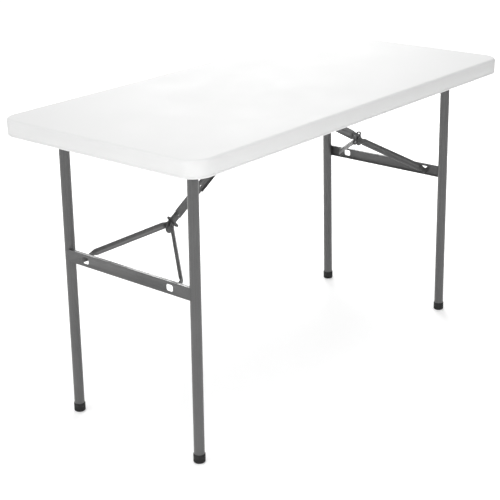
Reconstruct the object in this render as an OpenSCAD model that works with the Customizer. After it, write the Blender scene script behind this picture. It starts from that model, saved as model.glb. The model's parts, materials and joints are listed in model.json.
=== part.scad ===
// Folding table with a moulded top and two folding leg frames.
// Origin: on the floor under the middle of the table. X runs along it, Y across it, Z up.
// The right end is drawn in place, and the left end is the same end turned half a turn about Z.

/* [Tabletop] */
// Length of the top
top_length = 1220; // [1200:1:1240]
// Width of the top
top_width = 610; // [600:1:640]
// Height of the top surface above the floor
top_height = 740; // [735:1:745]
// Depth of the edge that is seen from the side
edge_depth = 40; // [36:1:44]
// Radius of the corners in plan
corner_radius = 50; // [40:1:60]
// Thickness of the panel inside the rim
panel_thickness = 18; // [16:1:18]
// Width of the rim round the underside recess
rim_width = 30; // [24:1:32]

/* [Leg frames] */
// Outside diameter of a leg tube
leg_d = 25; // [24:0.5:25]
// Wall thickness of a leg tube
leg_wall = 1.2; // [1:0.1:1.5]
// Distance from the table's middle to a frame's pivot
pivot_x = 520.7; // [515:0.1:525]
// Height of the pivots above the floor
pivot_z = 692; // [690:1:694]
// Outward lean of the left legs, whose brace is pushed straight, in degrees
left_lean = 1.2; // [1.1:0.01:1.3]
// Outward lean of the right legs, whose brace has a little slack, in degrees
right_lean = 0.74; // [0.6:0.01:0.9]
// Half the distance between the two legs of a frame
leg_half_spread = 199.5; // [195:0.5:205]
// Sideways shift of each frame, so that the folded legs lie side by side
stagger = 14; // [13.8:0.1:16]
// Outside diameter of the pivot tube
pivot_d = 19; // [18:0.5:19]
// Diameter of a foot
foot_d = 28; // [27:0.5:28]
// Height of a foot
foot_height = 21; // [18:1:25]

/* [Crossbars] */
// Height of the crossbar's middle above the floor
bar_z = 411.5; // [405:0.5:415]
// Height of the crossbar's face
bar_height = 30; // [28:1:32]
// Depth of the crossbar's lips
bar_lip = 8; // [6:1:8]
// Thickness of pressed sheet parts
sheet = 1.5; // [1.2:0.1:1.6]
// Distance from the middle of a frame to the face of an ear
ear_y = 144; // [135:1:150]
// Depth of the brace pivot behind the crossbar's outer face
ear_reach = 17; // [16.5:0.5:18]

/* [Braces] */
// Distance from the table's middle to the upper pivot of a link
link_pivot_x = 25; // [20:1:30]
// Height of the upper pivot of a link
link_pivot_z = 706.5; // [706:0.5:707]
// Height of a link, on edge
link_height = 25; // [24:0.5:25]
// Thickness of a link
link_thickness = 2.8; // [2.4:0.1:2.8]
// Height of a brace arm's pressed ends
arm_height = 14; // [12:1:14]
// Height of a brace arm's oval middle
arm_body_height = 20; // [16:1:20]
// Length over which the two arms lie flat against the link
tail_length = 27; // [24:1:30]
// Wire diameter of the lock ring
ring_wire = 4.5; // [4:0.5:4.5]
// Distance of the locked ring from the knuckle
ring_rest = 20; // [19:0.5:20]

/* [Hidden] */
$fn = 64;
fit = 0.05;              // radial clearance of a pin that turns
side_gap = 0.2;          // side clearance between plates that turn on each other
over = 1;                // how far a cutter passes through a face

leg_r = leg_d / 2;
pivot_r = pivot_d / 2;
rim_bottom = top_height - edge_depth;
panel_bottom = top_height - panel_thickness;
leg_top = 11;            // the leg's length above its pivot
leg_end_z = 4;           // height of the tube's end inside its foot
foot_chamfer = 1;

bar_drop = (pivot_z - bar_z) / cos(left_lean);   // along the leg, from its pivot
brace_in = ear_reach - leg_r;
hole_w = 20;             // window left by a lanced ear
hole_h = 16;
hole_r = 5;
ear_half = 7;
ear_pin_r = 2.5;
ear_head_r = 4.5;
head_t = 1.5;

rail_y = 245;            // middle of a side rail's web
rail_half_length = 556;
rail_depth = 16;
rail_flange = 18;
rail_lip = 8;
rail_tab_r = 15;
bush_r = 12;
bush_length = 10;
pivot_half_length = 251.5;
pivot_wall = 1.5;
cap_r = 12;
cap_t = 2.5;
cap_plug = 12;

screw_r = 2.1;
screw_depth = 12;
screw_head_r = 4.5;
screw_head_t = 2;
rail_screw_x = [-480, -240, 0, 240, 480];
rail_screw_y = rail_y + 11;
bracket_x = 60;          // half length of the centre bracket
bracket_y = 45;
bracket_corner_r = 8;
bracket_screw = [50, 35];
bracket_ear_y = 2.5;     // from a link's middle plane to the face of a bracket ear
bracket_ear_half = 9;
link_pin_r = 3;
link_pin_head_r = 5;

// The fold: the left brace is straight when its legs stand, and both are doubled back when
// the legs lie flat. Points are [x, z], at the right end.
fold_rise = 0.3;         // tilt of the folded arms, in degrees
link_pivot = [link_pivot_x, link_pivot_z];
function lean(side) = side == "left" ? left_lean : right_lean;
function arm_foot(side) = [
    pivot_x - brace_in * cos(lean(side)) + bar_drop * sin(lean(side)),
    pivot_z - brace_in * sin(lean(side)) - bar_drop * cos(lean(side))];
straight_span = norm(link_pivot - arm_foot("left"));
folded_span = link_pivot - [pivot_x - bar_drop, pivot_z + brace_in];
fold_dir = [cos(fold_rise), sin(fold_rise)];
arm_length = (straight_span * straight_span - folded_span * folded_span)
    / (2 * (straight_span - folded_span * fold_dir));
link_length = straight_span - arm_length;

// The knuckle is where circles of these two lengths meet, above the straight line.
function span(side) = min(norm(link_pivot - arm_foot(side)), straight_span);
function kink(side) = acos(min(1, (arm_length * arm_length + span(side) * span(side)
    - link_length * link_length) / (2 * arm_length * span(side))));
function rise(from, to) = atan2(to[1] - from[1], from[0] - to[0]);
function arm_slope(side) = rise(arm_foot(side), link_pivot) + kink(side);
function knuckle(side) = arm_foot(side)
    + arm_length * [-cos(arm_slope(side)), sin(arm_slope(side))];
function link_slope(side) = rise(knuckle(side), link_pivot);

arm_end_y = ear_y - side_gap - sheet / 2;
tail_y = link_thickness / 2 + 0.1 + sheet / 2;
ear_straight = 14;       // straight end of an arm beside its ear
arm_body = 8;            // thickness of an arm's oval middle
arm_body_r = 3.9;
arm_body_start = 10;     // distances from the bends to the ends of the oval middle
arm_body_stop = 16;
knuckle_r = 3;
knuckle_head_r = 5;
knuckle_disc_r = 8;
tongue_length = 38;      // from the knuckle to the end of the link's narrow part
tongue_half = 10.5;
tongue_corner_r = 8;
lobe_at = 35;            // a lobe hangs below the link's end, so that the ring can't slip off
lobe_r = 13;
lobe_drop = 7;
shoulder = 2;            // where the link's full height starts
link_lip_depth = 6;
link_lip_start = 90;
link_lip_gap = 30;       // from the lips' end to the upper pivot
slot_at = 97;
slot_length = 8;
slot_width = 4;
ring_half_gap = 3.4;     // half the ring's inner width
ring_arc_at = 13;        // height of the middle of the ring's round ends
ring_drop = 2.5;         // the ring hangs below the link's middle
ring_tilt = 10;          // the ring hangs a little steeper than square to the link

white = [0.95, 0.95, 0.94];
grey = [0.38, 0.38, 0.38];
bright = [0.62, 0.62, 0.62];
black = [0.08, 0.08, 0.08];

// ---- shared shapes ----

module rounded_plate(length, width, radius) {
    square([length - 2 * radius, width], center = true);
    square([length, width - 2 * radius], center = true);
    for (x = [-1, 1], y = [-1, 1])
        translate([x * (length / 2 - radius), y * (width / 2 - radius)]) circle(r = radius);
}

// A round bar along Y, between y = a and y = b.
module y_bar(r, a, b) {
    translate([0, min(a, b), 0]) rotate([-90, 0, 0]) cylinder(r = r, h = abs(b - a));
}

module y_bar_at(x, r, a, b) {
    translate([x, 0, 0]) y_bar(r, a, b);
}

module screw(at) {
    translate([at[0], at[1], panel_bottom - sheet]) {
        cylinder(r = screw_r, h = screw_depth + sheet);
        translate([0, 0, -screw_head_t])
            cylinder(r1 = screw_head_r - 1, r2 = screw_head_r, h = screw_head_t);
    }
}

module screw_hole(at) {
    translate([at[0], at[1], panel_bottom - over]) cylinder(r = screw_r, h = screw_depth + over);
}

rail_screws_at = [for (x = rail_screw_x, y = [-1, 1]) [x, y * rail_screw_y]];
bracket_screws_at = [for (x = [-1, 1], y = [-1, 1]) [x * bracket_screw[0], y * bracket_screw[1]]];

// ---- places ----

module at_end(side) {
    rotate([0, 0, side == "left" ? 180 : 0]) translate([0, stagger, 0]) children();
}

// The leg's own frame: origin on the pivot, Z up the leg, X outboard.
module in_leg_frame(side) at_end(side) {
    translate([pivot_x, 0, pivot_z]) rotate([0, -lean(side), 0]) children();
}

// The arms' own frame: origin on the ears' axis, X up the arms to the knuckle.
module in_arm_frame(side) at_end(side) {
    translate([arm_foot(side)[0], 0, arm_foot(side)[1]])
        rotate([0, arm_slope(side) - 180, 0]) children();
}

// The link's own frame: origin on the knuckle, X up the link to its upper pivot.
module in_link_frame(side) at_end(side) {
    translate([knuckle(side)[0], 0, knuckle(side)[1]])
        rotate([0, link_slope(side) - 180, 0]) children();
}

// ---- fixed parts ----

module tabletop() color(white) {
    difference() {
        translate([0, 0, rim_bottom])
            linear_extrude(edge_depth) rounded_plate(top_length, top_width, corner_radius);
        translate([0, 0, rim_bottom - over])
            linear_extrude(edge_depth - panel_thickness + over)
                rounded_plate(top_length - 2 * rim_width, top_width - 2 * rim_width,
                    corner_radius - rim_width / 2);
        for (at = rail_screws_at) screw_hole(at);
        for (at = bracket_screws_at) screw_hole(at);
    }
}

// A pressed rail with a screwed flange on top, a stiffening lip below and a tab for each pivot.
module side_rail(sy) color(grey) mirror([0, sy > 0 ? 0 : 1, 0]) difference() {
    rail_bottom = panel_bottom - rail_depth;
    tab_start = pivot_x - rail_tab_r;
    tab_end = pivot_x + rail_tab_r;
    union() {
        translate([0, rail_y + sheet / 2, 0]) rotate([90, 0, 0]) linear_extrude(sheet) {
            translate([-rail_half_length, rail_bottom])
                square([2 * rail_half_length, rail_depth]);
            for (x = [-pivot_x, pivot_x]) {
                translate([x, pivot_z]) circle(r = rail_tab_r);
                translate([x - rail_tab_r, pivot_z])
                    square([2 * rail_tab_r, panel_bottom - pivot_z]);
            }
        }
        translate([-rail_half_length, rail_y, panel_bottom - sheet])
            cube([2 * rail_half_length, rail_flange, sheet]);
        translate([-tab_start, rail_y, rail_bottom]) cube([2 * tab_start, rail_lip, sheet]);
        for (x = [-rail_half_length, tab_end]) translate([x, rail_y, rail_bottom])
            cube([rail_half_length - tab_end, rail_lip, sheet]);
    }
    for (x = [-pivot_x, pivot_x]) translate([x, 0, pivot_z])
        y_bar(bush_r, rail_y - 2 * sheet, rail_y + 2 * sheet);
    for (x = rail_screw_x) translate([x, rail_screw_y, panel_bottom - sheet - over])
        cylinder(r = screw_r, h = sheet + 2 * over);
}

// One pressed plate under the middle of the top, with a pair of ears for each link.
module centre_bracket() color(grey) {
    difference() {
        union() {
            translate([0, 0, panel_bottom - sheet]) linear_extrude(sheet)
                rounded_plate(2 * bracket_x, 2 * bracket_y, bracket_corner_r);
            for (side = ["left", "right"]) at_end(side)
                for (sy = [-1, 1])
                    translate([link_pivot_x, sy * (bracket_ear_y + sheet / 2) + sheet / 2, 0])
                        rotate([90, 0, 0]) linear_extrude(sheet) {
                            translate([0, link_pivot_z]) circle(r = bracket_ear_half);
                            translate([-bracket_ear_half, link_pivot_z])
                                square([2 * bracket_ear_half, panel_bottom - sheet - link_pivot_z]);
                        }
        }
        for (side = ["left", "right"]) at_end(side)
            translate([link_pivot_x, 0, link_pivot_z])
                y_bar(link_pin_r, -2 * bracket_ear_y, 2 * bracket_ear_y);
        for (at = bracket_screws_at)
            translate([at[0], at[1], panel_bottom - sheet - over])
                cylinder(r = screw_r, h = sheet + 2 * over);
    }
}

module bracket_screws() color(bright) {
    for (at = bracket_screws_at) screw(at);
}

module rail_screws() color(bright) {
    for (at = rail_screws_at) screw(at);
}

module link_pin(side) color(bright) at_end(side) {
    outer = bracket_ear_y + sheet;
    translate([link_pivot_x, 0, link_pivot_z]) {
        y_bar(link_pin_r, -outer - head_t, outer + head_t);
        for (sy = [-1, 1]) y_bar(link_pin_head_r, sy * outer, sy * (outer + head_t));
    }
}

// Plastic bushes in the rail tabs, with a flange on the inner side.
module pivot_bushes(side) color(black) rotate([0, 0, side == "left" ? 180 : 0])
    for (sy = [-1, 1]) translate([pivot_x, 0, pivot_z]) difference() {
        union() {
            y_bar(bush_r, sy * (rail_y - bush_length / 2), sy * (rail_y + bush_length / 2));
            y_bar(rail_tab_r, sy * (rail_y - bush_length / 2), sy * (rail_y - sheet / 2));
        }
        y_bar(pivot_r + fit, sy * (rail_y - bush_length), sy * (rail_y + bush_length));
    }

// ---- a leg frame ----

module pivot_tube(side) color(grey) rotate([0, 0, side == "left" ? 180 : 0])
    translate([pivot_x, 0, pivot_z]) difference() {
        y_bar(pivot_r, -pivot_half_length, pivot_half_length);
        y_bar(pivot_r - pivot_wall, -pivot_half_length - over, pivot_half_length + over);
    }

module pivot_caps(side) color(black) rotate([0, 0, side == "left" ? 180 : 0])
    for (sy = [-1, 1]) translate([pivot_x, 0, pivot_z]) {
        y_bar(cap_r, sy * pivot_half_length, sy * (pivot_half_length + cap_t));
        y_bar(pivot_r - pivot_wall, sy * (pivot_half_length - cap_plug), sy * pivot_half_length);
    }

module leg(side, sy) color(grey) in_leg_frame(side) {
    below = (pivot_z - leg_end_z) / cos(lean(side));
    difference() {
        translate([0, sy * leg_half_spread, -below]) difference() {
            cylinder(r = leg_r, h = below + leg_top);
            translate([0, 0, -over]) cylinder(r = leg_r - leg_wall, h = below + leg_top + 2 * over);
        }
        y_bar(pivot_r, sy * (leg_half_spread - leg_d), sy * (leg_half_spread + leg_d));
    }
}

// A moulded foot over the tube's end, cut level with the floor.
module foot(side, sy) color(black) difference() {
    sole = -pivot_z / cos(lean(side)) - over;
    tube_end = -(pivot_z - leg_end_z) / cos(lean(side));
    in_leg_frame(side) translate([0, sy * leg_half_spread, 0]) difference() {
        union() {
            translate([0, 0, sole]) cylinder(r = foot_d / 2, h = foot_height);
            translate([0, 0, sole + foot_height])
                cylinder(r1 = foot_d / 2, r2 = foot_d / 2 - foot_chamfer, h = foot_chamfer);
        }
        translate([0, 0, tube_end]) cylinder(r = leg_r, h = foot_height + 2 * over);
    }
    at_end(side) translate([pivot_x - foot_d, sy * leg_half_spread - foot_d, -2 * foot_d])
        cube([3 * foot_d, 2 * foot_d, 2 * foot_d]);
}

// A channel welded to the legs' outer sides, with two windows whose metal forms the brace ears.
module crossbar(side) color(grey) in_leg_frame(side) translate([0, 0, -bar_drop])
    difference() {
        union() {
            translate([leg_r - sheet, -leg_half_spread, -bar_height / 2])
                cube([sheet, 2 * leg_half_spread, bar_height]);
            for (z = [-bar_height / 2, bar_height / 2 - sheet])
                translate([leg_r - bar_lip, -leg_half_spread, z])
                    cube([bar_lip, 2 * leg_half_spread, sheet]);
            for (sy = [-1, 1]) translate([-brace_in, 0, 0]) {
                y_bar(ear_half, sy * ear_y, sy * (ear_y + sheet));
                translate([0, min(sy * ear_y, sy * (ear_y + sheet)), -ear_half])
                    cube([ear_reach - sheet, sheet, 2 * ear_half]);
            }
        }
        for (sy = [-1, 1]) {
            translate([0, sy * leg_half_spread, -bar_height])
                cylinder(r = leg_r, h = 2 * bar_height);
            translate([leg_r - sheet - over, sy * (ear_y - hole_w / 2), 0]) rotate([0, 90, 0])
                linear_extrude(sheet + 2 * over) rounded_plate(hole_h, hole_w, hole_r);
            translate([-brace_in, 0, 0])
                y_bar(ear_pin_r, sy * (ear_y - over), sy * (ear_y + sheet + over));
        }
    }

module ear_rivets(side) color(bright) in_leg_frame(side)
    translate([-brace_in, 0, -bar_drop]) for (sy = [-1, 1]) {
        inner = arm_end_y - sheet / 2 - side_gap;
        y_bar(ear_pin_r, sy * (inner - head_t), sy * (ear_y + sheet + head_t));
        y_bar(ear_head_r, sy * (inner - head_t), sy * inner);
        y_bar(ear_head_r, sy * (ear_y + sheet), sy * (ear_y + sheet + head_t));
    }

// ---- a brace ----

// The outline of a bent strip: the bends' points moved sideways, with mitred corners.
function unit(v) = v / norm(v);
function side_of(v) = [-v[1], v[0]];
function mitre(before, after) =
    let (n = unit(side_of(before) + side_of(after))) n / (n * side_of(before));
function edge(points, offset) = let (last = len(points) - 1) [for (i = [0:last])
    let (before = unit(points[max(i, 1)] - points[max(i, 1) - 1]),
         after = unit(points[min(i + 1, last)] - points[min(i, last - 1)]))
    points[i] + mitre(before, after) * offset];

module bent_strip(points, thickness, height) {
    left = edge(points, thickness / 2);
    right = edge(points, -thickness / 2);
    translate([0, 0, -height / 2]) linear_extrude(height)
        polygon(concat(left, [for (i = [len(right) - 1:-1:0]) right[i]]));
}

// A flat-oval bar from an ear to the knuckle, pressed flat and bent at both ends.
module brace_arm(side, sy) color(grey) in_arm_frame(side)
    mirror([0, sy > 0 ? 0 : 1, 0]) difference() {
        apex = arm_length - tail_length;
        bends = [[0, arm_end_y], [ear_straight, arm_end_y], [apex, tail_y], [arm_length, tail_y]];
        run = bends[2] - bends[1];
        body_from = bends[1] + unit(run) * arm_body_start;
        union() {
            bent_strip(bends, sheet, arm_height);
            y_bar_at(0, ear_half, arm_end_y - sheet / 2, arm_end_y + sheet / 2);
            y_bar_at(arm_length, knuckle_disc_r, tail_y - sheet / 2, tail_y + sheet / 2);
            translate([body_from[0], body_from[1], 0])
                rotate([0, 90, atan2(run[1], run[0])])
                    linear_extrude(norm(run) - arm_body_start - arm_body_stop)
                        rounded_plate(arm_body_height, arm_body, arm_body_r);
        }
        y_bar_at(0, ear_pin_r + fit, arm_end_y - 2 * sheet, arm_end_y + 2 * sheet);
        y_bar_at(arm_length, knuckle_r, tail_y - 2 * sheet, tail_y + 2 * sheet);
    }

// The two headed ends of the knuckle rivet, which turn with the arms.
module knuckle_heads(side) color(bright) in_arm_frame(side) translate([arm_length, 0, 0])
    for (sy = [-1, 1]) {
        outer = tail_y + sheet / 2;
        y_bar(knuckle_r, sy * (tail_y - sheet / 2), sy * outer);
        y_bar(knuckle_head_r, sy * outer, sy * (outer + head_t));
    }

// The middle of the knuckle rivet, which stays in the link.
module knuckle_shank(side) color(bright) in_link_frame(side)
    y_bar(knuckle_r, -link_thickness / 2, link_thickness / 2);

module link_outline() {
    translate([shoulder / 2 - tongue_length / 2, 0])
        rounded_plate(tongue_length + shoulder, 2 * tongue_half, tongue_corner_r);
    translate([-tongue_length / 2, -tongue_half])
        square([tongue_length / 2 + shoulder, 2 * tongue_half]);
    translate([-lobe_at, lobe_drop]) circle(r = lobe_r);
    translate([shoulder, -link_height / 2]) square([link_length - shoulder, link_height]);
    translate([link_length, 0]) circle(r = link_height / 2);
}

module brace_link(side) color(grey) in_link_frame(side) difference() {
    union() {
        translate([0, link_thickness / 2, 0]) rotate([90, 0, 0])
            linear_extrude(link_thickness) link_outline();
        for (z = [-link_height / 2, link_height / 2 - sheet])
            translate([link_lip_start, 0, z])
                cube([link_length - link_lip_gap - link_lip_start, link_lip_depth, sheet]);
    }
    y_bar(knuckle_r, -link_thickness, link_thickness);
    y_bar_at(link_length, link_pin_r + fit, -link_thickness, link_thickness);
    for (x = [-1, 1] * (slot_length - slot_width) / 2)
        y_bar_at(slot_at + x, slot_width / 2, -link_thickness, link_thickness);
    translate([slot_at, 0, 0]) cube([slot_length - slot_width, 2 * link_thickness, slot_width],
        center = true);
}

// An oval wire ring that slides along the link and holds the knuckle straight.
module lock_ring(side) color(grey) in_link_frame(side)
    translate([-ring_rest, 0, ring_drop]) rotate([0, ring_tilt, 0]) {
        mid = ring_half_gap + ring_wire / 2;
        for (y = [-mid, mid]) translate([0, y, -ring_arc_at])
            cylinder(r = ring_wire / 2, h = 2 * ring_arc_at);
        for (z = [0, 1]) mirror([0, 0, z]) translate([0, 0, ring_arc_at]) rotate([90, 0, 90])
            rotate_extrude(angle = 180) translate([mid, 0]) circle(r = ring_wire / 2);
    }

// ---- nodes ----

tabletop();
side_rail(-1);  // front_side_rail
side_rail(1);  // back_side_rail
centre_bracket();
bracket_screws();
rail_screws();

link_pin("left");  // left_link_pin
pivot_bushes("left");  // left_pivot_bushes
pivot_tube("left");  // left_pivot_tube
pivot_caps("left");  // left_pivot_caps
leg("left", 1);  // left_front_leg
leg("left", -1);  // left_back_leg
crossbar("left");  // left_crossbar
ear_rivets("left");  // left_ear_rivets
foot("left", 1);  // left_front_foot
foot("left", -1);  // left_back_foot
brace_arm("left", 1);  // left_front_arm
brace_arm("left", -1);  // left_back_arm
knuckle_heads("left");  // left_knuckle_heads
brace_link("left");  // left_brace_link
knuckle_shank("left");  // left_knuckle_shank
lock_ring("left");  // left_lock_ring

link_pin("right");  // right_link_pin
pivot_bushes("right");  // right_pivot_bushes
pivot_tube("right");  // right_pivot_tube
pivot_caps("right");  // right_pivot_caps
leg("right", -1);  // right_front_leg
leg("right", 1);  // right_back_leg
crossbar("right");  // right_crossbar
ear_rivets("right");  // right_ear_rivets
foot("right", -1);  // right_front_foot
foot("right", 1);  // right_back_foot
brace_arm("right", -1);  // right_front_arm
brace_arm("right", 1);  // right_back_arm
knuckle_heads("right");  // right_knuckle_heads
brace_link("right");  // right_brace_link
knuckle_shank("right");  // right_knuckle_shank
lock_ring("right");  // right_lock_ring
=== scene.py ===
"""Folding table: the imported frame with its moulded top, softened sheet metal, feet and welds."""
import json
import math

import bmesh
import bpy
from mathutils import Matrix, Vector

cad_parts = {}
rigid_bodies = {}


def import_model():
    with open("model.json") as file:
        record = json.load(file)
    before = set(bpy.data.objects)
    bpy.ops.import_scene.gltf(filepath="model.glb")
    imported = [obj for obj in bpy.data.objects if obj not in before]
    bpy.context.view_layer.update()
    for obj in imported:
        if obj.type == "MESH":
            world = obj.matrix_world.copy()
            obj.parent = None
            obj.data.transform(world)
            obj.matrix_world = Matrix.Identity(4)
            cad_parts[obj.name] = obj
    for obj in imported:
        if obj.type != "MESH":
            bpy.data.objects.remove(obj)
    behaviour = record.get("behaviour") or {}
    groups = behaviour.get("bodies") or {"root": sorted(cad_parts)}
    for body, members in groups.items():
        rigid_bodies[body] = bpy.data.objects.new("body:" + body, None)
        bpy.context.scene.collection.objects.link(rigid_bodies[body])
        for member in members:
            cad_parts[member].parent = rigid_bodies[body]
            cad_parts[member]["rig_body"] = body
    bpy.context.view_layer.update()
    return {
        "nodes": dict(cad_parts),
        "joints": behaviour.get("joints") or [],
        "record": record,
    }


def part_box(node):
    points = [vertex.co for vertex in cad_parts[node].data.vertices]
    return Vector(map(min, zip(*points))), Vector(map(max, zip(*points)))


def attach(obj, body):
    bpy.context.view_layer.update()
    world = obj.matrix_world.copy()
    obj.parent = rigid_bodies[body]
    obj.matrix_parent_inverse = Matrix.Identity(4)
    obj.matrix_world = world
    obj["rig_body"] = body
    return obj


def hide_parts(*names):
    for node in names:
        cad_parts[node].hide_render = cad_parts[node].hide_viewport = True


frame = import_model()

MM = 0.001
SIDES = {"left": -1, "right": 1}
ROWS = {"front": -1, "back": 1}
JOINTS = {joint["name"]: joint for joint in frame["joints"]}

# Sizes of the CAD parts that the pieces below fit.
SHEET = 1.5 * MM
LEG_RADIUS = 12.5 * MM
PIVOT_RADIUS = 9.5 * MM
EAR_END_RADIUS = 7 * MM
KNUCKLE_END_RADIUS = 8 * MM
RIVET_HEAD = 1.5 * MM
SCREW_HEAD_RADIUS = 4.5 * MM


# ---- camera, lights and floor ----

def add_camera():
    """A long lens that looks down on the table's left front corner."""
    place = (-2.2856, -1.8715, 1.4319)
    yaw, pitch, roll = 0.7063, -0.3652, -0.0223
    data = bpy.data.cameras.new("camera")
    data.sensor_width = 36
    data.lens = 87.388
    camera = bpy.data.objects.new("camera", data)
    bpy.context.scene.collection.objects.link(camera)
    view = Vector((math.cos(yaw) * math.cos(pitch), math.sin(yaw) * math.cos(pitch), math.sin(pitch)))
    level = Vector((math.sin(yaw), -math.cos(yaw), 0))
    upright = level.cross(view)
    right = math.cos(roll) * level + math.sin(roll) * upright
    up = -math.sin(roll) * level + math.cos(roll) * upright
    turn = Matrix((right, up, -view)).transposed().to_4x4()
    camera.matrix_world = Matrix.Translation(place) @ turn
    bpy.context.scene.camera = camera


def add_area_light(name, place, target, size, power):
    """A round soft light at place that points at target, with its power in watts."""
    data = bpy.data.lights.new(name, "AREA")
    data.shape = "DISK"
    data.size = size
    data.energy = power
    light = bpy.data.objects.new(name, data)
    light.location = place
    light.rotation_euler = (Vector(target) - Vector(place)).to_track_quat("-Z", "Y").to_euler()
    bpy.context.scene.collection.objects.link(light)


def light_world(world):
    """A soft white room, brightest overhead and on the left. The camera sees it as a plain backdrop."""
    overhead, overhead_focus, left, backdrop = 2.5, 4, 0.62, 1.0
    left_side = Vector((-1, 0.3, 0)).normalized()
    tree = world.node_tree

    def math_node(operation, *values):
        node = tree.nodes.new("ShaderNodeMath")
        node.operation = operation
        for socket, value in zip(node.inputs, values):
            if isinstance(value, (int, float)):
                socket.default_value = value
            else:
                tree.links.new(value, socket)
        return node.outputs[0]

    direction = tree.nodes.new("ShaderNodeTexCoord").outputs["Generated"]
    parts = tree.nodes.new("ShaderNodeSeparateXYZ")
    tree.links.new(direction, parts.inputs[0])
    up = math_node("POWER", math_node("MAXIMUM", parts.outputs["Z"], 0), overhead_focus)
    side = tree.nodes.new("ShaderNodeVectorMath")
    side.operation = "DOT_PRODUCT"
    side.inputs[1].default_value = left_side
    tree.links.new(direction, side.inputs[0])
    leftward = math_node("MAXIMUM", side.outputs["Value"], 0)
    room = math_node("MULTIPLY_ADD", up, overhead, math_node("MULTIPLY", leftward, left))
    seen = tree.nodes.new("ShaderNodeLightPath").outputs["Is Camera Ray"]
    strength = tree.nodes.new("ShaderNodeMix")
    strength.inputs["B"].default_value = backdrop
    tree.links.new(seen, strength.inputs["Factor"])
    tree.links.new(room, strength.inputs["A"])
    tree.links.new(strength.outputs["Result"], tree.nodes["Background"].inputs["Strength"])
    tree.nodes["Background"].inputs["Color"].default_value = (1, 1, 1, 1)


def add_studio():
    """The room's light, three area lights and a pale floor that runs out of sight."""
    reach = 40
    scene = bpy.context.scene
    scene.view_settings.view_transform = "Standard"
    scene.world = bpy.data.worlds.new("studio")
    scene.world.use_nodes = True
    light_world(scene.world)
    add_area_light("key", (-1.5, -1.5, 0.95), (-0.5, -0.3, 0.5), 0.7, 9)
    add_area_light("left_back", (-2.0, 0.9, 1.1), (-0.6, 0.2, 0.5), 0.8, 1.0)
    add_area_light("behind", (2.7, 2.4, 1.5), (-0.5, 0, 0.4), 2.0, 78)
    mesh = bpy.data.meshes.new("floor")
    mesh.from_pydata([(-reach, -reach, 0), (reach, -reach, 0), (reach, reach, 0), (-reach, reach, 0)],
                     [], [(0, 1, 2, 3)])
    floor = bpy.data.objects.new("floor", mesh)
    scene.collection.objects.link(floor)
    mesh.materials.append(floor_material())


# ---- materials ----

class Nodes:
    """A material's node tree, with short calls to add and join nodes."""

    def __init__(self, name):
        self.material = bpy.data.materials.new(name)
        self.material.use_nodes = True
        self.tree = self.material.node_tree
        self.shader = self.tree.nodes["Principled BSDF"]
        self.place = self.add("ShaderNodeTexCoord").outputs["Object"]

    def add(self, kind, **settings):
        node = self.tree.nodes.new(kind)
        for key, value in settings.items():
            setattr(node, key, value)
        return node

    def join(self, source, target):
        self.tree.links.new(source, target)

    def noise(self, scale, detail=2.0, roughness=0.5, stretch=None):
        node = self.add("ShaderNodeTexNoise")
        node.inputs["Scale"].default_value = scale
        node.inputs["Detail"].default_value = detail
        node.inputs["Roughness"].default_value = roughness
        place = self.place
        if stretch:
            mapping = self.add("ShaderNodeMapping")
            mapping.inputs["Scale"].default_value = stretch
            self.join(place, mapping.inputs["Vector"])
            place = mapping.outputs["Vector"]
        self.join(place, node.inputs["Vector"])
        return node.outputs["Fac"]

    def ramp(self, source, stops):
        """A colour ramp; stops are (position, grey or colour)."""
        node = self.add("ShaderNodeValToRGB")
        elements = node.color_ramp.elements
        while len(elements) < len(stops):
            elements.new(0.5)
        for element, (position, colour) in zip(elements, stops):
            element.position = position
            rgb = (colour,) * 3 if isinstance(colour, (int, float)) else tuple(colour)
            element.color = (*rgb, 1)
        self.join(source, node.inputs["Fac"])
        return node.outputs["Color"]

    def bump(self, source, strength, distance, below=None):
        node = self.add("ShaderNodeBump")
        node.inputs["Strength"].default_value = strength
        node.inputs["Distance"].default_value = distance
        self.join(source, node.inputs["Height"])
        if below:
            self.join(below, node.inputs["Normal"])
        return node.outputs["Normal"]

    def mix(self, factor, first, second):
        node = self.add("ShaderNodeMix", data_type="RGBA")
        self.join(factor, node.inputs[0])
        for value, socket in ((first, node.inputs[6]), (second, node.inputs[7])):
            if isinstance(value, tuple):
                socket.default_value = (*value, 1)
            else:
                self.join(value, socket)
        return node.outputs[2]

    def edges(self, low, high):
        """High along convex edges, where a coat wears thin and where a painted highlight is laid."""
        pointiness = self.add("ShaderNodeNewGeometry").outputs["Pointiness"]
        return self.ramp(pointiness, [(low, 0), (high, 1)])

    def finish(self, colour, roughness, normal, metallic=0.0, specular=0.5):
        self.join(colour, self.shader.inputs["Base Color"])
        self.join(roughness, self.shader.inputs["Roughness"])
        self.join(normal, self.shader.inputs["Normal"])
        self.shader.inputs["Metallic"].default_value = metallic
        self.shader.inputs["Specular IOR Level"].default_value = specular
        return self.material


def floor_material():
    """Pale studio paper that glows a little, so that it stays white far from the lights."""
    nodes = Nodes("floor_paper")
    colour = nodes.ramp(nodes.noise(3), [(0.3, 0.96), (0.7, 0.975)])
    rough = nodes.ramp(nodes.noise(30), [(0.3, 0.85), (0.7, 0.95)])
    nodes.shader.inputs["Emission Color"].default_value = (1, 1, 1, 1)
    nodes.shader.inputs["Emission Strength"].default_value = 0.15
    return nodes.finish(colour, rough, nodes.bump(nodes.noise(400), 0.02, 0.0005), specular=0.1)


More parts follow.
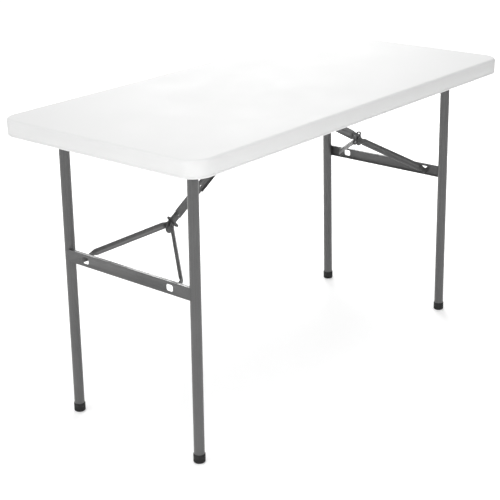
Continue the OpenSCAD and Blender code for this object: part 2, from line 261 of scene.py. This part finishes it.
def white_plastic():
    """Blow-moulded polyethylene: fine pebble grain, faint clouding and handling marks."""
    nodes = Nodes("white_plastic")
    shades = [(0.3, (0.735, 0.737, 0.735)), (0.7, (0.765, 0.766, 0.764))]
    colour = nodes.ramp(nodes.noise(2.2, 4), shades)
    rough = nodes.ramp(nodes.noise(9, 5, 0.6), [(0.3, 0.6), (0.7, 0.68)])
    grain = nodes.add("ShaderNodeTexVoronoi")
    grain.inputs["Scale"].default_value = 620
    nodes.join(nodes.place, grain.inputs["Vector"])
    pebble = nodes.bump(grain.outputs["Distance"], 0.16, 0.0003)
    normal = nodes.bump(nodes.noise(14, 3), 0.03, 0.002, below=pebble)
    return nodes.finish(colour, rough, normal, specular=0.18)


def grey_paint(name, dark, light, rough_low=0.28, rough_high=0.4):
    """Powder coat on steel: orange peel, fleck, and a thin bright line along convex edges that is
    partly rubbed wear and partly a painted highlight.
    """
    fleck_grey, rubbed_and_highlight_grey = 1.35 * light, 1.5 * light
    nodes = Nodes(name)
    broad = nodes.ramp(nodes.noise(7, 4, 0.6), [(0.3, dark), (0.7, light)])
    fleck = nodes.ramp(nodes.noise(1500, 1), [(0.62, 0), (0.72, 1)])
    flecked = nodes.mix(fleck, broad, (fleck_grey,) * 3)
    # Convex edges lighter: partly rubbed wear, partly a painted highlight along the folds.
    rubbed_and_highlight = nodes.mix(nodes.edges(0.6, 0.72), flecked, (rubbed_and_highlight_grey,) * 3)
    rough = nodes.ramp(nodes.noise(45, 3), [(0.3, rough_low), (0.7, rough_high)])
    peel = nodes.bump(nodes.noise(420, 2), 0.22, 0.0004)
    return nodes.finish(rubbed_and_highlight, rough, peel, specular=0.5)


def zinc_steel():
    """Zinc plating: mottled bright grey with fine drawn streaks in its gloss."""
    nodes = Nodes("zinc_steel")
    colour = nodes.ramp(nodes.noise(60, 5, 0.7), [(0.3, 0.34), (0.7, 0.52)])
    rough = nodes.ramp(nodes.noise(160, 3, stretch=(1, 6, 1)), [(0.3, 0.25), (0.7, 0.45)])
    return nodes.finish(colour, rough, nodes.bump(nodes.noise(900, 2), 0.1, 0.0002), metallic=0.9)


def black_plastic():
    """Black moulded plastic with a fine matt grain."""
    nodes = Nodes("black_plastic")
    colour = nodes.ramp(nodes.noise(30, 4), [(0.3, 0.016), (0.7, 0.03)])
    rough = nodes.ramp(nodes.noise(80, 3), [(0.3, 0.42), (0.7, 0.6)])
    return nodes.finish(colour, rough, nodes.bump(nodes.noise(800, 2), 0.2, 0.0003), specular=0.45)


def foot_rubber():
    """Black rubber with a dusty bloom and scuffs low down."""
    nodes = Nodes("foot_rubber")
    base = nodes.ramp(nodes.noise(50, 5, 0.65), [(0.35, 0.012), (0.75, 0.028)])
    scuff = nodes.ramp(nodes.noise(260, 4, 0.7, stretch=(1, 1, 3)), [(0.6, 0), (0.8, 1)])
    colour = nodes.mix(scuff, base, (0.05, 0.05, 0.048))
    rough = nodes.ramp(nodes.noise(120, 3), [(0.3, 0.55), (0.7, 0.75)])
    return nodes.finish(colour, rough, nodes.bump(nodes.noise(700, 3), 0.3, 0.0003), specular=0.35)


def paint_frame(materials):
    """Gives each CAD node the material of its record slot, and returns the slots by node."""
    slots = {part["node"]: part["material_slot"] for part in frame["record"]["subparts"]}
    for name, node in frame["nodes"].items():
        node.data.materials.clear()
        node.data.materials.append(materials[slots[name]])
    return slots


# ---- mesh helpers ----

def add_piece(name, mesh, body, material, replaced=()):
    """A new object that rides on body, takes its finish from slot and may stand for CAD nodes."""
    piece = bpy.data.objects.new(name, mesh)
    bpy.context.scene.collection.objects.link(piece)
    mesh.materials.clear()
    mesh.materials.append(material)
    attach(piece, body)
    if replaced:
        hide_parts(*replaced)
    return piece


def mesh_from(name, build, sharp_degrees=40):
    """A smooth-shaded mesh made by build(bm), with edges above sharp_degrees left sharp."""
    bm = bmesh.new()
    build(bm)
    bmesh.ops.recalc_face_normals(bm, faces=bm.faces)
    mesh = bpy.data.meshes.new(name)
    bm.to_mesh(mesh)
    bm.free()
    mesh.shade_smooth()
    mesh.set_sharp_from_angle(angle=math.radians(sharp_degrees))
    return mesh


def join_loops(bm, loops):
    """Quads between neighbouring closed loops of equal length."""
    for lower, upper in zip(loops, loops[1:]):
        count = len(lower)
        for i in range(count):
            j = (i + 1) % count
            bm.faces.new((lower[i], lower[j], upper[j], upper[i]))


def arc(centre, radius, start, end, steps):
    """Points of an arc in degrees, both ends included."""
    return [(centre[0] + radius * math.cos(math.radians(start + (end - start) * i / steps)),
             centre[1] + radius * math.sin(math.radians(start + (end - start) * i / steps)))
            for i in range(steps + 1)]


# ---- the moulded top ----

class Moulding:
    """The top's outline and its sections, in metres, taken from the CAD box."""

    def __init__(self):
        low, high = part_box("tabletop")
        self.half_x = (high.x - low.x) / 2
        self.half_y = (high.y - low.y) / 2
        self.top = high.z
        self.bottom = low.z
        self.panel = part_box("centre_bracket")[1].z
        self.corner = 50 * MM
        self.least_corner = 12 * MM
        self.corner_steps = 14

    def outline(self, inset):
        """The plan outline, moved inwards by inset."""
        radius = max(self.corner - inset, self.least_corner)
        x, y = self.half_x - inset - radius, self.half_y - inset - radius
        points = []
        for sx, sy, start in ((1, 1, 0), (-1, 1, 90), (-1, -1, 180), (1, -1, 270)):
            points += arc((sx * x, sy * y), radius, start, start + 90, self.corner_steps)
        return points

    def section(self):
        """(inset, height) pairs from the top surface, over the edge and up into the recess."""
        top_round, foot_round, panel_round, land = 7 * MM, 3 * MM, 4 * MM, 4 * MM
        wall, wall_lean, belt_drop, seam = 30 * MM, 1 * MM, 16 * MM, 0.5 * MM
        seam_at = self.bottom + 5.5 * MM
        points = [(top_round + land, self.top)]
        points += arc((top_round, self.top - top_round), top_round, 90, 180, 7)
        points += [(seam, self.top - belt_drop), (seam, seam_at + 2 * seam), (2 * seam, seam_at + seam),
                   (2 * seam, seam_at), (seam, seam_at - seam)]
        points += arc((foot_round + seam, self.bottom + foot_round), foot_round, 180, 270, 5)
        points += arc((wall - foot_round, self.bottom + foot_round), foot_round, 270, 360, 5)
        panel_start = wall + wall_lean + panel_round
        points += arc((panel_start, self.panel - panel_round), panel_round, 180, 90, 5)
        points += [(panel_start + land, self.panel)]
        return points


def dimple_field(bm, moulding, rim_loop):
    """The underside panel: rows of round tack-offs pressed up towards the top skin."""
    columns, rows, sides, margin = 20, 10, 24, 50 * MM
    half_x, half_y = moulding.half_x - margin, moulding.half_y - margin
    mouth, floor_radius, depth, rounding = 11 * MM, 6 * MM, 9 * MM, 1 * MM
    step_x, step_y = 2 * half_x / columns, 2 * half_y / rows
    grid = {}

    def corner(i, j):
        if (i, j) not in grid:
            grid[i, j] = bm.verts.new((-half_x + i * step_x, -half_y + j * step_y, moulding.panel))
        return grid[i, j]

    for i in range(columns):
        for j in range(rows):
            centre = Vector((-half_x + (i + 0.5) * step_x, -half_y + (j + 0.5) * step_y, 0))
            square = [corner(i, j), corner(i + 1, j), corner(i + 1, j + 1), corner(i, j + 1)]
            rings = []
            for radius, lift in ((mouth, 0), (mouth - rounding, 0.8 * rounding),
                                 (floor_radius + rounding, depth - rounding), (floor_radius, depth)):
                rings.append([bm.verts.new((centre.x + x, centre.y + y, moulding.panel + lift))
                              for x, y in arc((0, 0), radius, -135, 225, sides)[:-1]])
            quarter = sides // 4
            for k in range(4):
                around = [rings[0][(k * quarter + m) % sides] for m in range(quarter + 1)]
                bm.faces.new([square[(k + 1) % 4], square[k], *around])
            join_loops(bm, rings)
            bm.faces.new(rings[-1])
    border = [corner(i, 0) for i in range(columns)]
    border += [corner(columns, j) for j in range(rows)]
    border += [corner(i, rows) for i in range(columns, 0, -1)]
    border += [corner(0, j) for j in range(rows, 0, -1)]
    edges = []
    for loop in (border, rim_loop):
        for a, b in zip(loop, loop[1:] + loop[:1]):
            edges.append(bm.edges.get((a, b)) or bm.edges.new((a, b)))
    bmesh.ops.triangle_fill(bm, edges=edges, use_beauty=True)


def build_tabletop(material):
    """The moulded top: a rounded rim round the dimpled underside."""
    moulding = Moulding()

    def build(bm):
        loops = [[bm.verts.new((x, y, z)) for x, y in moulding.outline(inset)]
                 for inset, z in moulding.section()]
        join_loops(bm, loops)
        bm.faces.new(loops[0])
        dimple_field(bm, moulding, loops[-1])

    mesh = mesh_from("moulded_top", build, sharp_degrees=50)
    add_piece("moulded_top", mesh, "table", material, ["tabletop"])


# ---- sheet metal with softened edges ----

def soften(node, material):
    """Replaces a CAD node by a copy whose folded edges are rounded, as pressed and coated steel is."""
    width, segments, same_place = 0.45 * MM, 2, 0.002 * MM
    flat, fold, sharp = math.radians(0.5), math.radians(40), math.radians(45)
    source = frame["nodes"][node]
    mesh = source.data.copy()
    bm = bmesh.new()
    bm.from_mesh(mesh)
    bmesh.ops.remove_doubles(bm, verts=bm.verts, dist=same_place)
    bmesh.ops.dissolve_limit(bm, angle_limit=flat, verts=bm.verts, edges=bm.edges)
    bm.to_mesh(mesh)
    bm.free()
    piece = add_piece(node + "_pressed", mesh, source["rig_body"], material, [node])
    bevel = piece.modifiers.new("folds", "BEVEL")
    bevel.width = width
    bevel.segments = segments
    bevel.limit_method = "ANGLE"
    bevel.angle_limit = fold
    bevel.use_clamp_overlap = True
    graph = bpy.context.evaluated_depsgraph_get()
    softened = bpy.data.meshes.new_from_object(piece.evaluated_get(graph))
    piece.modifiers.clear()
    piece.data = softened
    softened.shade_smooth()
    softened.set_sharp_from_angle(angle=sharp)


# ---- feet and welds ----

def leg_line(side, row):
    """The foot's middle on the floor and the leg's unit direction, from the CAD frame."""
    pivot = Vector(JOINTS[f"{side}_leg_fold"]["pos_m"])
    low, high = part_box(f"{side}_{row}_foot")
    middle = (low + high) / 2
    top = Vector((pivot.x, middle.y, pivot.z))
    direction = (top - middle).normalized()
    return middle - direction * (middle.z / direction.z), direction


def leg_frame(side, row):
    """A matrix whose Z axis runs up the leg from the floor, with X outboard."""
    origin, up = leg_line(side, row)
    across = Vector((0, SIDES[side], 0))
    out = across.cross(up).normalized()
    return Matrix.Translation(origin) @ Matrix((out, across, up)).transposed().to_4x4()


def turned(bm, section, matrix, steps=48):
    """A lathed solid from (radius, height) pairs; the first and last loops are capped."""
    loops = []
    for radius, height in section:
        loops.append([bm.verts.new(matrix @ Vector((x, y, height)))
                      for x, y in arc((0, 0), radius, 0, 360, steps)[:-1]])
    join_loops(bm, loops)
    bm.faces.new(loops[0])
    bm.faces.new(loops[-1])


def build_foot(side, row, material):
    """A moulded cap: rounded sole, two grip grooves and a rolled mouth round the tube."""
    low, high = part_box(f"{side}_{row}_foot")
    height = high.z - low.z
    radius, inner, mouth_depth = 14 * MM, 12.6 * MM, 4 * MM
    sole, mouth, groove = 2.4 * MM, 1.2 * MM, 0.7 * MM
    section = arc((radius - sole, sole), sole, -90, 0, 5)
    for at in (6.5 * MM, 10 * MM):
        section += [(radius, at - groove), (radius - groove, at - groove / 2),
                    (radius - groove, at + groove / 2), (radius, at + groove)]
    section += arc((radius - mouth, height - mouth), mouth, 0, 90, 4)
    section += [(inner, height - mouth / 2), (inner, height - mouth_depth)]
    matrix = leg_frame(side, row)

    def build(bm):
        turned(bm, section, matrix)
        for vert in bm.verts:
            vert.co.z = max(vert.co.z, 0)

    name = f"{side}_{row}_foot_cap"
    add_piece(name, mesh_from(name, build), f"{side}_leg_frame", material,
              [f"{side}_{row}_foot"])


def bead(bm, points, radius):
    """A weld: overlapping ripples along the points, of slightly different sizes."""
    ripple, turn = 0.12, 2.4
    for i, point in enumerate(points):
        swell = radius * (1 + ripple * math.sin(turn * i))
        bmesh.ops.create_icosphere(bm, subdivisions=2, radius=swell,
                                   matrix=Matrix.Translation(point))


def build_welds(side, material):
    """Beads where the crossbar's ends meet the legs and where the legs meet the pivot tube."""
    low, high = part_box(f"{side}_crossbar")
    bar_height = (low.z + high.z) / 2
    margin, steps, bead_radius = 2.5 * MM, 14, 1.7 * MM
    half = (high.z - low.z) / 2 - margin
    pivot = Vector(JOINTS[f"{side}_leg_fold"]["pos_m"])
    seam_x, seam_y = LEG_RADIUS - 1.3 * MM, 4.6 * MM
    ring_radius, ring_offset = PIVOT_RADIUS + 0.5 * MM, LEG_RADIUS - 0.6 * MM

    def build(bm):
        for row in ROWS:
            matrix = leg_frame(side, row)
            leg_y = matrix.translation.y
            inward = -math.copysign(1, leg_y - pivot.y) * SIDES[side]
            heights = [bar_height - half + 2 * half * i / (steps - 1) for i in range(steps)]
            seam = [matrix @ Vector((seam_x, inward * seam_y, height)) for height in heights]
            bead(bm, seam, bead_radius)
            for edge in (-1, 1):
                ring = [Vector((pivot.x + x, leg_y + edge * ring_offset, pivot.z + z))
                        for x, z in arc((0, 0), ring_radius, 200, 340, 12)]
                bead(bm, ring, bead_radius)

    name = f"{side}_welds"
    add_piece(name, mesh_from(name, build, 80), f"{side}_leg_frame", material)


# ---- brace arms, rivets and screws ----

def brace_frame(side):
    """The arms' own frame: origin on the ears' axis, X up the arms to the knuckle, and the length."""
    origin = Vector(JOINTS[f"{side}_arm_swing"]["pos_m"])
    low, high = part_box(f"{side}_knuckle_heads")
    along = (low + high) / 2 - origin
    length = along.length
    along.normalize()
    across = Vector((0, 1, 0))
    up = along.cross(across)
    if up.z < 0:
        up = -up
    return Matrix.Translation(origin) @ Matrix((along, across, up)).transposed().to_4x4(), length


def rounded_path(points, radius, steps):
    """The points with each corner replaced by a short curve that starts radius before it."""
    path = [points[0]]
    for before, corner, after in zip(points, points[1:], points[2:]):
        start = corner + (before - corner).normalized() * radius
        end = corner + (after - corner).normalized() * radius
        for i in range(steps + 1):
            t = i / steps
            path.append(start * (1 - t) ** 2 + corner * 2 * t * (1 - t) + end * t ** 2)
    return path + [points[-1]]


def resample(path, step):
    """Points about step apart along the path, with their distances from its start."""
    result, travelled = [(path[0], 0.0)], 0.0
    for a, b in zip(path, path[1:]):
        length = (b - a).length
        count = max(1, math.ceil(length / step))
        for i in range(1, count + 1):
            result.append((a.lerp(b, i / count), travelled + length * i / count))
        travelled += length
    return result


def smooth_step(value, start, end):
    """Rises smoothly from 0 at start to 1 at end."""
    t = min(max((value - start) / (end - start), 0), 1)
    return t * t * (3 - 2 * t)


def oval(half_height, half_width, fullness, steps=9):
    """A section as (sideways, up) pairs: a flat strip at fullness 0, an ellipse at 1."""
    rounding = min(half_width, half_height)
    straight = half_height - rounding
    points = []
    for start, middle in ((0, straight), (180, -straight)):
        strip = arc((0, middle), rounding, start, start + 180, steps)
        round_side = arc((0, 0), half_height, start, start + 180, steps)
        for (strip_x, strip_y), (round_x, round_y) in zip(strip, round_side):
            flat = Vector((strip_x * half_width / rounding, strip_y))
            points.append(flat.lerp(Vector((round_x * half_width / half_height, round_y)), fullness))
    return points


def build_arm(side, row, material):
    """A flat-oval arm, squeezed flat at both ends where it is riveted."""
    node = f"{side}_{row}_arm"
    matrix, length = brace_frame(side)
    low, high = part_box(node)
    middle = matrix.translation.y
    sign = ROWS[row]
    near, far = sorted((abs(low.y - middle), abs(high.y - middle)))
    flat, belly = SHEET / 2, 4 * MM
    end_height, belly_height, least_height = 7 * MM, 10 * MM, 0.9 * MM
    ear_y, tail_y = far - flat, near + flat
    ear_run, tail_run, bend, step = 14 * MM, 27 * MM, 5 * MM, 1.5 * MM
    corners = [Vector((-EAR_END_RADIUS, ear_y)), Vector((ear_run, ear_y)),
               Vector((length - tail_run, tail_y)), Vector((length + KNUCKLE_END_RADIUS, tail_y))]
    stations = resample(rounded_path(corners, bend, 6), step)
    total = stations[-1][1]
    swell_start = EAR_END_RADIUS + ear_run
    swell_end = swell_start + 11 * MM
    fade_end = KNUCKLE_END_RADIUS + tail_run + 5 * MM
    fade_start = fade_end + 12 * MM

    def profile(distance):
        """The half height, half thickness and roundness of the arm's section at a distance."""
        left = total - distance
        swelling = (smooth_step(distance, swell_start, swell_end)
                    * smooth_step(left, fade_end, fade_start))
        tall = end_height + (belly_height - end_height) * swelling
        for gap, radius in ((distance, EAR_END_RADIUS), (left, KNUCKLE_END_RADIUS)):
            disc = math.sqrt(max(radius ** 2 - (radius - gap) ** 2, 0))
            if gap < radius:
                tall = min(max(tall, radius), disc)
            elif gap < 2 * radius:
                tall = max(tall, disc)
        return max(tall, least_height), flat + (belly - flat) * swelling, swelling

    def build(bm):
        loops = []
        for i, (point, distance) in enumerate(stations):
            before = stations[max(i - 1, 0)][0]
            after = stations[min(i + 1, len(stations) - 1)][0]
            run = (after - before).normalized()
            places = [(point.x - run.y * x, sign * (point.y + run.x * x), z)
                      for x, z in oval(*profile(distance))]
            loops.append([bm.verts.new(matrix @ Vector(place)) for place in places])
        join_loops(bm, loops)
        bm.faces.new(loops[0])
        bm.faces.new(loops[-1])

    add_piece(node + "_formed", mesh_from(node, build, 50), f"{side}_brace_arms", material,
              [node])


def turned_along_y(bm, section, place, sign, steps=32):
    """A lathed solid on an axis along Y; section holds (radius, distance along sign * Y) pairs."""
    turn = Matrix(((1, 0, 0), (0, 0, -sign), (0, sign, 0))).transposed().to_4x4()
    turned(bm, section, Matrix.Translation(place) @ turn, steps)


def domed(radius, height, start):
    """The (radius, distance) pairs of a domed head that stands on a face at distance start."""
    edge, steps = 0.4 * MM, 6
    points = [(radius - edge, start), (radius, start + edge)]
    for i in range(1, steps + 1):
        angle = math.pi / 2 * i / steps
        rise = start + edge + (height - edge) * math.sin(angle)
        points.append((max(radius * math.cos(angle), edge), rise))
    return points


def build_rivets(side, paint, zinc):
    """Domed rivets in the ears and at the knuckle; the knuckle's have a bright peened middle."""
    pivot = Vector(JOINTS[f"{side}_arm_swing"]["pos_m"])
    low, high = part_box(f"{side}_ear_rivets")
    reach = (high.y - low.y) / 2
    head, ear_radius, ear_shank, grip = RIVET_HEAD, 4.5 * MM, 2.4 * MM, 6.6 * MM

    def ears(bm):
        for sign in (-1, 1):
            face = pivot + Vector((0, sign * (reach - head), 0))
            turned_along_y(bm, [(ear_shank, -grip + head)] + domed(ear_radius, head, 0), face, sign)
            back = pivot + Vector((0, sign * (reach - grip + head), 0))
            turned_along_y(bm, domed(ear_radius, head, 0), back, -sign)

    add_piece(f"{side}_ear_rivets_domed", mesh_from("ear_rivets", ears), f"{side}_leg_frame",
              paint, [f"{side}_ear_rivets"])
    low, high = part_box(f"{side}_knuckle_heads")
    knuckle = (low + high) / 2
    half = (high.y - low.y) / 2
    radius, shank, hollow, hollow_depth = 5 * MM, 3 * MM, 1.9 * MM, 0.7 * MM
    peen_radius, peen_start = 1.6 * MM, head - 0.8 * MM
    faces = {sign: knuckle + Vector((0, sign * (half - head), 0)) for sign in (-1, 1)}

    def heads(bm):
        for sign, face in faces.items():
            section = [(shank, -SHEET), (shank, 0)] + domed(radius, head, 0)[:-2]
            section += [(hollow, head - 0.15 * MM), (hollow - 0.2 * MM, head - hollow_depth)]
            turned_along_y(bm, section, face, sign)

    def peens(bm):
        for sign, face in faces.items():
            section = [(peen_radius, peen_start - 0.1 * MM)] + domed(peen_radius, 0.7 * MM, peen_start)
            turned_along_y(bm, section, face, sign)

    add_piece(f"{side}_knuckle_heads_domed", mesh_from("knuckle_heads", heads), f"{side}_brace_arms",
              paint, [f"{side}_knuckle_heads"])
    add_piece(f"{side}_knuckle_peens", mesh_from("knuckle_peens", peens), f"{side}_brace_arms",
              zinc)


def cross_outline(arm, waist, steps):
    """A rounded cross seen along a screw's axis."""
    arms, sharpness, points = 4, 3, []
    for i in range(steps):
        angle = 2 * math.pi * i / steps
        wave = (math.cos(arms * angle) + 1) / 2
        radius = waist + (arm - waist) * wave ** sharpness
        points.append((radius * math.cos(angle), radius * math.sin(angle)))
    return points


def screw_places(node):
    """The screws' places: four at a plate's corners, or two rows of five."""
    low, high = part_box(node)
    middle = (low + high) / 2
    half = (high - low) / 2 - Vector((SCREW_HEAD_RADIUS, SCREW_HEAD_RADIUS, 0))
    columns = (-1, 1) if node == "bracket_screws" else (-1, -0.5, 0, 0.5, 1)
    return [(middle.x + column * half.x, middle.y + row * half.y)
            for column in columns for row in (-1, 1)]


def build_screws(node, places, material):
    """Pan-head screws with a cross recess, heads down, under the top."""
    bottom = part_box(node)[0].z
    radius, head, shank, shank_length = SCREW_HEAD_RADIUS, 2 * MM, 2.1 * MM, 8 * MM
    recess, cross_arm, cross_waist, steps = 1.1 * MM, 2.2 * MM, 0.7 * MM, 48
    turned_part = [(shank, head + shank_length), (shank, head), (radius, head), (radius, 0.6 * head),
                   (0.93 * radius, 0.3 * head), (0.72 * radius, 0.05 * head), (0.6 * radius, 0)]
    outlines = [(arc((0, 0), r, 0, 360, steps)[:-1], z) for r, z in turned_part]
    outlines += [(cross_outline(cross_arm, cross_waist, steps), z) for z in (0, recess)]

    def build(bm):
        for x, y in places:
            loops = [[bm.verts.new((x + a, y + b, bottom + z)) for a, b in outline]
                     for outline, z in outlines]
            join_loops(bm, loops)
            bm.faces.new(loops[0])
            bm.faces.new(loops[-1])

    add_piece(node + "_cross_head", mesh_from(node, build), "table", material, [node])


# ---- assembly ----

def main():
    """Builds the studio and every piece, in front of the painted CAD frame."""
    materials = {
        "white_plastic": white_plastic(),
        "grey_paint": grey_paint("grey_paint", 0.064, 0.09),
        "ring_steel": grey_paint("ring_steel", 0.055, 0.075, 0.3, 0.45),
        "zinc_steel": zinc_steel(),
        "black_plastic": black_plastic(),
        "foot_rubber": foot_rubber(),
    }
    add_camera()
    add_studio()
    slots = paint_frame(materials)
    build_tabletop(materials["white_plastic"])
    pressed = ["front_side_rail", "back_side_rail", "centre_bracket"]
    for side in SIDES:
        pressed += [f"{side}_crossbar", f"{side}_brace_link"]
        build_welds(side, materials["grey_paint"])
        build_rivets(side, materials["grey_paint"], materials["zinc_steel"])
        for row in ROWS:
            build_arm(side, row, materials["grey_paint"])
            build_foot(side, row, materials["foot_rubber"])
    for node in ("bracket_screws", "rail_screws"):
        build_screws(node, screw_places(node), materials["zinc_steel"])
    for node in pressed:
        soften(node, materials[slots[node]])


main()
